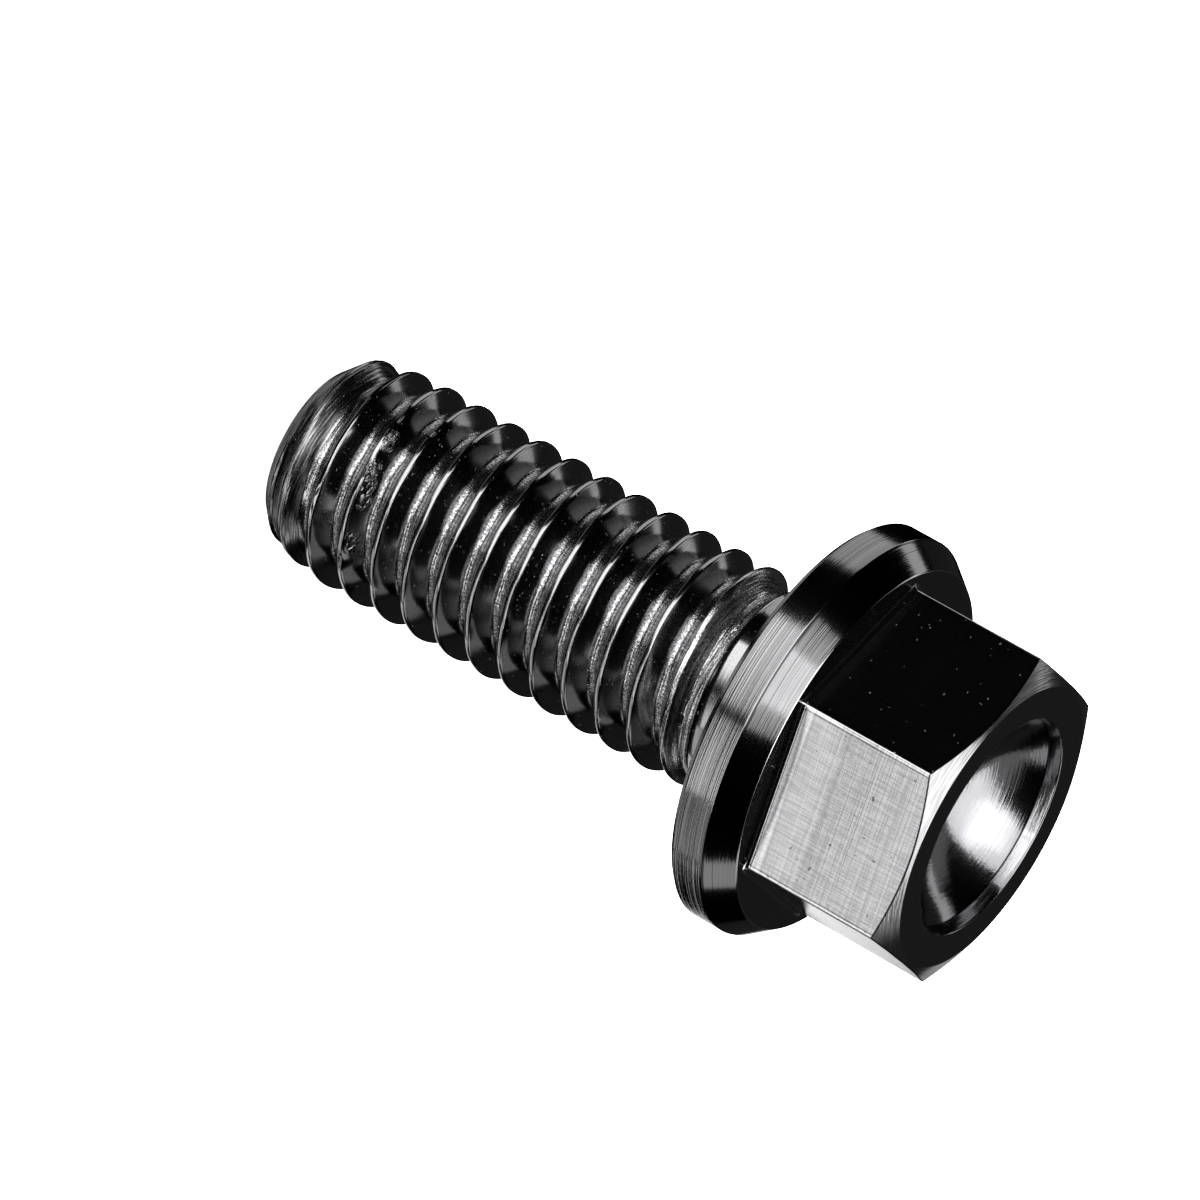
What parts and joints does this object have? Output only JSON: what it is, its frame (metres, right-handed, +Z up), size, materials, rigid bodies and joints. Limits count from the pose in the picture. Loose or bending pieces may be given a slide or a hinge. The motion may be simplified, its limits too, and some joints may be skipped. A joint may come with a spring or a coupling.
{
  "type": "flanged hex bolt",
  "caption": "Short flanged hexagon-head bolt with a right-hand metric thread and a round dish in its head; it clamps a part with its flange.",
  "frame": {"origin": "middle of the flat end face at the threaded tip, which the bolt stands on", "axes": "+Z up the bolt's axis from the tip to the head; two of the hexagon's corners point along +Y and -Y"},
  "size_m": [0.011, 0.011, 0.0208],
  "materials": {
    "plated_steel": "dark bright plating over turned and rolled steel, glossy, with fine turning marks on the flange, milling marks on the flats and grainy rolled threads"
  },
  "bodies": {
    "root": {"bolt": "plated_steel"}
  },
  "joints": []
}
